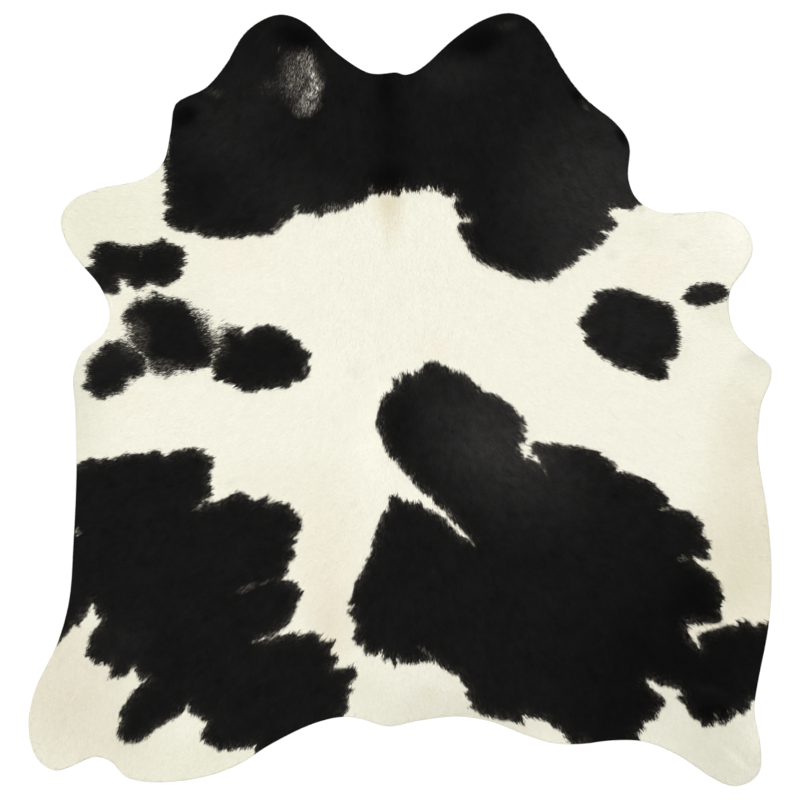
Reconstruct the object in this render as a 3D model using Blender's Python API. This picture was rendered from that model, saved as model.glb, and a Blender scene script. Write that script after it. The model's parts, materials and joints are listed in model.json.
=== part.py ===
"""Cowhide rug, lying hair side up on the floor.

The rug is one whole tanned hide with the hair left on: a thin sheet trimmed to
the natural outline of neck, legs, flanks and tail end, with no lining, binding
or seam.  It lies flat, and lifts off the floor only in low waves near its rim.

Units are metres.  The floor is z = 0, +Z is the hair side, +Y points to the
neck, and the origin is on the floor under the middle of the hide's box.
"""
import bmesh
import bpy
import numpy as np

# Driving sizes of the hide
HIDE_LENGTH = 2.150         # neck lobes to hind legs, along Y
HIDE_WIDTH = 2.064          # left hind leg to right flank, along X
LEATHER = 0.0025            # tanned skin alone
LYING_COAT = 0.0030         # hair lying on it
HIDE_THICKNESS = LEATHER + LYING_COAT

# Fineness of the solid
RIM_POINTS = 320            # corners around the outline
CURVE_STEPS = 40            # steps on each stretch between two outline marks

# Outline marks of each part of the hide, clockwise from the nape as seen from
# the hair side: x to the right, y to the neck.  A smooth closed curve runs
# through them all.
OUTLINE = {
    "nape": (
        (-0.085, 0.904),
        (-0.035, 0.904),
        (-0.010, 0.907),
        (0.016, 0.898),
        (0.060, 0.919),
    ),
    "right neck lobe": (
        (0.150, 1.000),
        (0.230, 1.052),
        (0.305, 1.071),
        (0.360, 1.051),
        (0.405, 0.995),
        (0.450, 0.916),
        (0.510, 0.837),
        (0.600, 0.762),
        (0.635, 0.705),
        (0.631, 0.615),
        (0.652, 0.558),
        (0.705, 0.521),
    ),
    "right fore leg": (
        (0.800, 0.516),
        (0.890, 0.518),
        (0.949, 0.483),
        (0.976, 0.415),
        (0.955, 0.362),
        (0.917, 0.310),
        (0.908, 0.252),
        (0.930, 0.180),
    ),
    "right flank": (
        (0.985, 0.124),
        (1.024, 0.092),
        (1.024, 0.045),
        (1.002, -0.005),
        (0.990, -0.080),
        (0.992, -0.160),
        (1.015, -0.315),
        (1.028, -0.480),
        (1.020, -0.630),
    ),
    "right hind leg": (
        (0.990, -0.790),
        (0.980, -0.865),
        (0.998, -0.965),
        (0.993, -1.035),
        (0.930, -1.074),
        (0.862, -1.048),
        (0.782, -0.993),
        (0.680, -0.950),
    ),
    "right rump": (
        (0.580, -0.947),
        (0.510, -0.956),
        (0.430, -0.955),
        (0.350, -0.932),
        (0.255, -0.895),
        (0.160, -0.880),
    ),
    "tail end": (
        (0.060, -0.890),
        (-0.035, -0.907),
        (-0.100, -0.889),
        (-0.155, -0.881),
        (-0.240, -0.900),
    ),
    "left rump": (
        (-0.360, -0.958),
        (-0.452, -1.015),
        (-0.550, -1.049),
        (-0.670, -1.061),
        (-0.760, -1.046),
    ),
    "left hind leg": (
        (-0.795, -1.008),
        (-0.845, -0.990),
        (-0.904, -1.015),
        (-0.952, -1.031),
        (-1.005, -0.993),
        (-1.029, -0.905),
        (-1.010, -0.805),
        (-0.950, -0.680),
    ),
    "left flank": (
        (-0.917, -0.560),
        (-0.905, -0.400),
        (-0.896, -0.190),
        (-0.899, -0.020),
        (-0.905, 0.060),
        (-0.882, 0.130),
        (-0.820, 0.182),
        (-0.804, 0.245),
    ),
    "left fore leg": (
        (-0.835, 0.318),
        (-0.880, 0.371),
        (-0.918, 0.424),
        (-0.939, 0.500),
        (-0.902, 0.554),
        (-0.830, 0.584),
        (-0.720, 0.607),
        (-0.660, 0.648),
    ),
    "left neck lobe": (
        (-0.635, 0.745),
        (-0.624, 0.815),
        (-0.595, 0.837),
        (-0.540, 0.862),
        (-0.485, 0.924),
        (-0.425, 1.020),
        (-0.335, 1.067),
        (-0.265, 1.045),
        (-0.180, 0.964),
    ),
}

# The rim in section, from the flesh side round the cut edge to the coat
RIM_SECTION = (
    # ring               inset from the edge   height over the flesh side
    ("flesh side",       0.0080,               0.0),
    ("lower edge",       0.0010,               0.0003),
    ("cut edge",         0.0,                  0.5 * LEATHER),
    ("hair tips",        0.0010,               LEATHER + 0.2 * LYING_COAT),
    ("coat shoulder",    0.0050,               LEATHER + 0.8 * LYING_COAT),
    ("coat",             0.0140,               HIDE_THICKNESS),
)

# The flesh side's middle lies tight on the floor as one flat face
FLAT_CORNERS = 12
FLAT_RADIUS = 0.70

# Rings inside the rim, as shares of the way from the middle to the edge
FLESH_RINGS = (0.87, 0.94)
COAT_RINGS = (0.96, 0.91, 0.85, 0.76, 0.60)
LYING_FLAT = 0.60           # share of the way out where the waves begin

# Outside the middle the dried skin is never quite flat: it stands off the
# floor by these shallow cockles, between a third of their height and all of it
COCKLE_HEIGHT = 0.0009
COCKLE_SPACING = 0.31

# Low waves where the drying hide has curled off the floor.  Each is a soft
# ridge: its middle, the way it runs (degrees from +X), half its length, half
# its width and how high it lifts.
WAVES = (
    # place                      x       y      runs   length  width   lift
    ("right neck lobe",          0.27,   1.00,   35.0,  0.22,   0.100,  0.0060),
    ("left neck lobe",          -0.36,   1.02,  150.0,  0.20,   0.090,  0.0050),
    ("nape bump",               -0.01,   0.90,   90.0,  0.12,   0.060,  0.0030),
    ("right cheek",              0.62,   0.72,   60.0,  0.14,   0.070,  0.0040),
    ("right fore leg end",       0.94,   0.44,   75.0,  0.16,   0.075,  0.0070),
    ("right armpit",             0.90,   0.26,   10.0,  0.12,   0.060,  0.0030),
    ("right flank point",        0.97,   0.07,   20.0,  0.20,   0.050,  0.0080),
    ("right flank hollow",       0.96,  -0.05,  160.0,  0.16,   0.045,  0.0050),
    ("right thigh",              1.00,  -0.40,   88.0,  0.26,   0.060,  0.0040),
    ("right hind leg",           0.95,  -0.99,  115.0,  0.18,   0.050,  0.0080),
    ("right hind leg back",      0.86,  -1.00,  145.0,  0.14,   0.050,  0.0040),
    ("tail end",                -0.03,  -0.89,   85.0,  0.12,   0.070,  0.0030),
    ("left rump corner",        -0.70,  -1.03,   15.0,  0.20,   0.065,  0.0060),
    ("left hind leg end",       -0.98,  -0.95,   75.0,  0.22,   0.070,  0.0080),
    ("left flank",              -0.90,  -0.10,   92.0,  0.26,   0.055,  0.0040),
    ("left fore leg end",       -0.91,   0.50,  105.0,  0.18,   0.075,  0.0070),
    ("left cheek",              -0.61,   0.81,  120.0,  0.12,   0.060,  0.0040),
)

COAT_COLOUR = (0.82, 0.80, 0.70, 1.0)
COAT_ROUGHNESS = 0.6


def remove_old_objects():
    """Empty the scene before modelling."""
    for old in list(bpy.data.objects):
        bpy.data.objects.remove(old, do_unlink=True)


def closed_curve(marks, steps):
    """Smooth closed curve through the marks.

    Between two marks it is the cubic whose end slopes come from the marks on
    either side, weighed by the square root of the distances between marks, so
    that near marks don't make it loop.
    """
    before = np.roll(marks, 1, axis=0)
    after = np.roll(marks, -1, axis=0)
    beyond = np.roll(marks, -2, axis=0)
    gap_in = np.sqrt(np.linalg.norm(marks - before, axis=1))[:, None]
    gap = np.sqrt(np.linalg.norm(after - marks, axis=1))[:, None]
    gap_out = np.sqrt(np.linalg.norm(beyond - after, axis=1))[:, None]
    straight = (after - marks) / gap
    slope_in = gap * ((marks - before) / gap_in - (after - before) / (gap_in + gap) + straight)
    slope_out = gap * (straight - (beyond - marks) / (gap + gap_out) + (beyond - after) / gap_out)
    t = np.linspace(0.0, 1.0, steps, endpoint=False)[None, :, None]
    start, end = marks[:, None, :], after[:, None, :]
    slope_in, slope_out = slope_in[:, None, :], slope_out[:, None, :]
    curve = (
        (2 * t**3 - 3 * t**2 + 1) * start
        + (t**3 - 2 * t**2 + t) * slope_in
        + (-2 * t**3 + 3 * t**2) * end
        + (t**3 - t**2) * slope_out
    )
    return curve.reshape(-1, 2)


def evenly_spaced(curve, count):
    """The closed curve again, as `count` corners at equal distances along it."""
    closed = np.vstack((curve, curve[:1]))
    along = np.concatenate(([0.0], np.cumsum(np.linalg.norm(np.diff(closed, axis=0), axis=1))))
    wanted = np.linspace(0.0, along[-1], count, endpoint=False)
    return np.column_stack([np.interp(wanted, along, closed[:, axis]) for axis in (0, 1)])


def hide_outline():
    """Corners of the cut edge, clockwise, centred and at the hide's real size."""
    marks = np.array([mark for part in OUTLINE.values() for mark in part])
    corners = evenly_spaced(closed_curve(marks, CURVE_STEPS), RIM_POINTS)
    low, high = corners.min(axis=0), corners.max(axis=0)
    size = np.array((HIDE_WIDTH, HIDE_LENGTH))
    return (corners - (low + high) / 2) * size / (high - low)


def inset(corners, distance):
    """The outline drawn in by a distance square to its edge."""
    along = np.roll(corners, -1, axis=0) - np.roll(corners, 1, axis=0)
    along /= np.linalg.norm(along, axis=1)[:, None]
    inward = np.column_stack((along[:, 1], -along[:, 0]))
    return corners + distance * inward


def soft_hump(distance, reach):
    """1 in the middle, falling as a cosine to 0 at its reach."""
    share = np.clip(np.abs(distance) / reach, 0.0, 1.0)
    return 0.5 + 0.5 * np.cos(np.pi * share)


def cockles(points):
    """Shallow bumps in rows: the product of a sine wave along X and one along Y."""
    turns = 2 * np.pi * points / COCKLE_SPACING
    return COCKLE_HEIGHT * (2.0 + np.sin(turns[:, 0]) * np.sin(turns[:, 1] + 1.0)) / 3.0


def lift(points, way_out):
    """Height of the flesh side over the floor: the waves and cockles, faded out inwards."""
    height = np.zeros(len(points))
    for _, x, y, runs, length, width, rise in WAVES:
        heading = np.radians(runs)
        dx, dy = points[:, 0] - x, points[:, 1] - y
        along = dx * np.cos(heading) + dy * np.sin(heading)
        across = dy * np.cos(heading) - dx * np.sin(heading)
        height = np.maximum(height, rise * soft_hump(along, length) * soft_hump(across, width))
    loose = np.clip((way_out - LYING_FLAT) / (1.0 - LYING_FLAT), 0.0, 1.0)
    return (height + cockles(points)) * (1.0 - (1.0 - loose) ** 2)


def flat_middle():
    """Corners of the flat face, clockwise from +Y like the outline's."""
    turn = 2 * np.pi * np.arange(FLAT_CORNERS) / FLAT_CORNERS
    return FLAT_RADIUS * np.column_stack((np.sin(turn), np.cos(turn), 0.0 * turn))


def hide_rings():
    """Rings of corners, from the flesh side's flat middle round the rim to the coat's middle."""
    corners = hide_outline()

    def ring(plan, way_out, height):
        return np.column_stack((plan, lift(plan, way_out) + height))

    rings = [flat_middle()]
    rings += [ring(share * corners, share, 0.0) for share in FLESH_RINGS]
    rings += [ring(inset(corners, drawn_in), 1.0, height) for _, drawn_in, height in RIM_SECTION]
    rings += [ring(share * corners, share, HIDE_THICKNESS) for share in COAT_RINGS]
    return rings


def closed_loop(bm, ring):
    """Edges of a closed ring of corners."""
    corners = [bm.verts.new(corner) for corner in ring]
    following = corners[1:] + corners[:1]
    return [bm.edges.new(pair) for pair in zip(corners, following)]


def hide_mesh():
    """The sheet as one closed skin: each ring is bridged to the next, and both middles are filled."""
    bm = bmesh.new()
    loops = [closed_loop(bm, ring) for ring in hide_rings()]
    for loop, following in zip(loops, loops[1:]):
        bmesh.ops.bridge_loops(bm, edges=loop + following)
    for middle in (loops[0], loops[-1]):
        bmesh.ops.contextual_create(bm, geom=middle)
    bmesh.ops.recalc_face_normals(bm, faces=bm.faces)
    mesh = bpy.data.meshes.new("hide")
    bm.to_mesh(mesh)
    bm.free()
    return mesh


def coat_material():
    """Dull cream hair, the coat's main colour."""
    material = bpy.data.materials.new("hair coat")
    material.use_nodes = True
    shader = material.node_tree.nodes["Principled BSDF"]
    shader.inputs["Base Color"].default_value = COAT_COLOUR
    shader.inputs["Roughness"].default_value = COAT_ROUGHNESS
    shader.inputs["Metallic"].default_value = 0.0
    return material


def make_hide():
    """The rug's one piece."""
    mesh = hide_mesh()
    mesh.materials.append(coat_material())
    mesh.shade_smooth()
    mesh.set_sharp_from_angle(angle=np.radians(40.0))
    hide = bpy.data.objects.new("hide", mesh)
    bpy.context.collection.objects.link(hide)
    return hide


remove_old_objects()
make_hide()
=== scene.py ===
"""Looks of the cowhide rug: its skin, and the coat of short hair that lies on it.

The frame's solid gives the hide's outline.  The skin is one closed thin sheet on
that outline, and the coat is some 370 000 flat locks of hair, in five bands.
Each lock is black or pale by where it grows on the hide.  Units are metres, the
patch marks are in centimetres: x to the right, y to the neck, seen from above.
"""
import json

import bpy
import numpy as np
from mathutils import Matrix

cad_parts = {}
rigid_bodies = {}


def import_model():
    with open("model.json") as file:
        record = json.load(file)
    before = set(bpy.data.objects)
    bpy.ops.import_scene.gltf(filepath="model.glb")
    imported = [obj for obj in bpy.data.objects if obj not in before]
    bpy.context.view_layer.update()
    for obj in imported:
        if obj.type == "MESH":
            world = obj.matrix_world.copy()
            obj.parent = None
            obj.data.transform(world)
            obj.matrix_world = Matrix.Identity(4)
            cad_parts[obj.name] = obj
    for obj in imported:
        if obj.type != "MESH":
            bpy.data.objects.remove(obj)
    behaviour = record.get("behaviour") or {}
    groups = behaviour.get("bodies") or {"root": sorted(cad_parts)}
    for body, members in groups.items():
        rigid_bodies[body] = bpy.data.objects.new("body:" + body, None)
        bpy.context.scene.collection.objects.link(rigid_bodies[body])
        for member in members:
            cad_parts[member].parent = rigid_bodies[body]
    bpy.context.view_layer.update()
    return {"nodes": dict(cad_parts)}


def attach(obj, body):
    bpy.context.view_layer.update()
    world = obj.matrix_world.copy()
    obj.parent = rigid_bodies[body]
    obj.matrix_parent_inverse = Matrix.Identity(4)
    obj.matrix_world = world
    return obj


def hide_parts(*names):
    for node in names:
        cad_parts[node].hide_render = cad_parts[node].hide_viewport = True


CM = 0.01

# ----------------------------------------------------------------- the skin
LEATHER = 0.0025            # tanned skin
UNDERCOAT = 0.0015          # dense short hair on the skin
SKIN_COLUMNS = 640          # corners round each ring of the skin
FLESH_RINGS = 22
HAIR_RINGS = 42
RING_POWER = 0.8            # under 1 it crowds the rings towards the cut edge
# Rings round the cut edge: how far inside the outline each lies, and how high
CUT_EDGE = (
    (0.0060, 0.0000),
    (0.0030, 0.0001),
    (0.0022, 0.0006),
    (0.0021, 0.0012),
    (0.0022, 0.0019),
    (0.0032, 0.0025),
)
HAIRY_EDGE_RINGS = 3        # how many of these, the last ones, carry hair

# How the solid's outline is measured
RIM_ANGLES = 2880           # directions in which it is measured
RAYS_AT_ONCE = 256
RIM_EASING = 5              # directions to either side over which it is eased
SECTORS = 180               # coarse directions, to tell the rim from what lies inside
RIM_FROM = 0.8              # share of a sector's reach from which an edge may be rim

# ------------------------------------------------------------ locks of hair
HAIR_LENGTH = 0.0190
LENGTH_SHARES = (0.75, 1.2)     # of that, for the shortest and the longest lock
SHOULDER_AT = 0.52              # where along a lock it is widest
ROOT_INSET = 0.0015             # no lock grows nearer to the cut edge
END_INSETS = (0.0010, 0.0020)   # and one that would pass it ends this far short of it
LOCK_TURN = 5.0                 # degrees by which chance turns a lock
# Locks stand on two lattices
LATTICES = (
    # spacing, where two colours meet, lock width in spacings
    (0.0021, True, 1.0),
    (0.0033, False, 1.15),
)
WIDTH_SHARES = (0.8, 1.2)       # of that width, for the narrowest and the widest lock
FRINGE = 0.012                  # how far from a patch's border two colours meet
SOFT_FROM = 1.5                 # a border blurred this much wider is fringe all over
TUFT_SPACING = 0.0170           # hair lies in tufts about this wide
TUFT_STRETCH = 2.0              # and this many times as long
TUFT_TURN = 3.5                 # degrees by which chance turns a tuft
TUFT_LEAN = 0.12                # how far a tip leans to its tuft's middle line
COAT_HEIGHT = 0.0030            # how far hair reaches over the skin at most
TIP_SHARES = (0.84, 0.91)       # of that, for the lowest and the highest tip
SHOULDER_RISE = 0.64            # share of its rise that a lock has at its shoulders
ROLL = 0.00006                  # how far chance lifts one shoulder and drops the other
ROOT_SUNK = 0.0001              # how deep in the undercoat a lock starts
EDGE_ROUND = 0.005              # hair comes down over this width at the cut edge
EDGE_BARE = 0.0008              # and is down this far from it
STRAND = 0.00025                # fine strands that show in a lock
STRAND_LENGTH = 0.008           # how far one shows before others cover it
STRAND_NUMBERS = 500.0          # locks' strands are numbered from 0 to this
MAP_SHARE = 0.2                 # a lock's size in the UV map

# -------------------------------------------------- chance in locks' colours
JUDGED_AT = 0.72                # where along a lock the pattern sets its colour
BORDER_BLUR = 0.0060            # width over which black gives way to pale
BLUR_POWER = 2.2                # makes the blur look even
TUFT_STRAY = 0.0016             # how far a tuft moves the border
LOCK_STRAY = 0.0015             # and a lock on its own
SOFT_STRAY = 0.32               # share of a border's added blur that locks stray by
SOFT_BLUR = 0.3                 # and share of it over which black gives way
EDGE_GREY = 0.050               # share of pale hair just inside a black patch
EDGE_REACH = 0.0078             # depth over which it falls to a third
ROAN_MOST = 3.2                 # a lock's share of pale hair, at most, over its place's
ROAN_POWER = 2.2                # the higher it is, the fewer locks hold the pale hairs
BLACK_BY_TUFT = 0.07            # how much lighter or darker a tuft's black hair is
BLACK_BY_LOCK = 0.12            # and a lock's
PALE_BY_TUFT = 0.005            # and the same for pale hair
PALE_BY_LOCK = 0.012
BROWNING = (0.05, 0.0, -0.08)   # change of a lone pale hair's red, green and blue
DARKEST = 0.0006                # no hair is darker than this
LIGHTEST = 0.95                 # or lighter than this

# Smooth noise in layers: strength, spacing and seed
BORDER_NOISE = ((0.0034, 0.0045, 21),)
CLUMPS = ((0.50, 0.012, 22), (0.65, 0.0032, 23))
MOTTLES = ((0.13, 0.045, 24), (0.13, 0.016, 25))
CELLS = 256                     # chance values lie on a lattice of this many either way
LOCK_SEED = 11
TUFT_SEED = 5
TUFT_TURN_SEED = 6
TUFT_COLOUR_SEED = 7

# --------------------------------------------------- the light, and surfaces
WHITE_SHOWS_AT = 1.17           # how bright a white surface comes out in this light
SHINE = 0.0027                  # light that black hair throws back off its surface
BLACK_LEAST = 0.0008            # and the least that is left without it
BLACK_HUE = (1.03, 1.0, 0.97)   # black hair is a touch brown
HAIR_SHADES = (0.90, 1.10)      # times its colour, where a strand is darkest and lightest
ROUGHNESS_SWING = 0.08
HAIR_RELIEF = 0.00015           # depth of the bump on the hair
NAP_RELIEF = 0.0008             # and on the suede
FLOOR_BELOW = 0.0005            # how far below height 0 the white floor lies

# ---------------------------------------------------------------- the waves
# Low waves where the hide has curled off the floor, as in the solid: middle,
# the way each runs (degrees from +X), half length, half width and lift
WAVES = (
    # place                      x       y      runs   length  width   lift
    ("right neck lobe",          0.27,   1.00,   35.0,  0.22,   0.100,  0.0060),
    ("left neck lobe",          -0.36,   1.02,  150.0,  0.20,   0.090,  0.0050),
    ("nape bump",               -0.01,   0.90,   90.0,  0.12,   0.060,  0.0030),
    ("right cheek",              0.62,   0.72,   60.0,  0.14,   0.070,  0.0040),
    ("right fore leg end",       0.94,   0.44,   75.0,  0.16,   0.075,  0.0070),
    ("right armpit",             0.90,   0.26,   10.0,  0.12,   0.060,  0.0030),
    ("right flank point",        0.97,   0.07,   20.0,  0.20,   0.050,  0.0080),
    ("right flank hollow",       0.96,  -0.05,  160.0,  0.16,   0.045,  0.0050),
    ("right thigh",              1.00,  -0.40,   88.0,  0.26,   0.060,  0.0040),
    ("right hind leg",           0.95,  -0.99,  115.0,  0.18,   0.050,  0.0080),
    ("right hind leg back",      0.86,  -1.00,  145.0,  0.14,   0.050,  0.0040),
    ("tail end",                -0.03,  -0.89,   85.0,  0.12,   0.070,  0.0030),
    ("left rump corner",        -0.70,  -1.03,   15.0,  0.20,   0.065,  0.0060),
    ("left hind leg end",       -0.98,  -0.95,   75.0,  0.22,   0.070,  0.0080),
    ("left flank",              -0.90,  -0.10,   92.0,  0.26,   0.055,  0.0040),
    ("left fore leg end",       -0.91,   0.50,  105.0,  0.18,   0.075,  0.0070),
    ("left cheek",              -0.61,   0.81,  120.0,  0.12,   0.060,  0.0040),
)
LYING_FLAT = 0.60           # share of the way out where the waves begin
COCKLE_HEIGHT = 0.0009
COCKLE_SPACING = 0.31

# ------------------------------------------------------- how the hair grows
# The way the hair points at places on the hide, in degrees from +X: down the
# back towards the tail, out over the flanks and down the legs
GROWTH = (
    # place                 x      y     points
    ("nape",               -0.03,  0.90,  -90),
    ("left neck lobe",     -0.33,  0.98, -110),
    ("right neck lobe",     0.31,  0.98,  -68),
    ("crest",              -0.02,  0.70,  -90),
    ("left cheek",         -0.50,  0.72, -135),
    ("right cheek",         0.50,  0.72,  -45),
    ("withers",            -0.02,  0.40,  -90),
    ("left shoulder",      -0.45,  0.45, -150),
    ("right shoulder",      0.45,  0.45,  -32),
    ("left fore leg",      -0.80,  0.48, -200),
    ("right fore leg",      0.82,  0.42,   12),
    ("left armpit",        -0.75,  0.20, -170),
    ("right armpit",        0.82,  0.20,  -10),
    ("back",                0.00,  0.05,  -90),
    ("left ribs",          -0.45,  0.05, -155),
    ("right ribs",          0.45,  0.05,  -28),
    ("left belly",         -0.85, -0.10, -160),
    ("right belly",         0.93, -0.05,  -20),
    ("loin",                0.00, -0.35,  -90),
    ("left loin",          -0.40, -0.35, -145),
    ("right loin",          0.40, -0.35,  -38),
    ("left flank",         -0.80, -0.40, -150),
    ("right flank",         0.90, -0.40,  -32),
    ("left of the spine",  -0.15, -0.45, -138),
    ("right of the spine",  0.18, -0.45,  -46),
    ("left of the tail",   -0.18, -0.68, -138),
    ("right of the tail",   0.20, -0.80,  -52),
    ("rump",                0.00, -0.75,  -90),
    ("left thigh",         -0.60, -0.72, -125),
    ("right thigh",         0.60, -0.72,  -55),
    ("left hind leg",      -0.96, -0.92, -118),
    ("right hind leg",      0.93, -0.97,  -65),
    ("left rump corner",   -0.60, -1.00, -110),
)
GROWTH_REACH = 0.22

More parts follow.
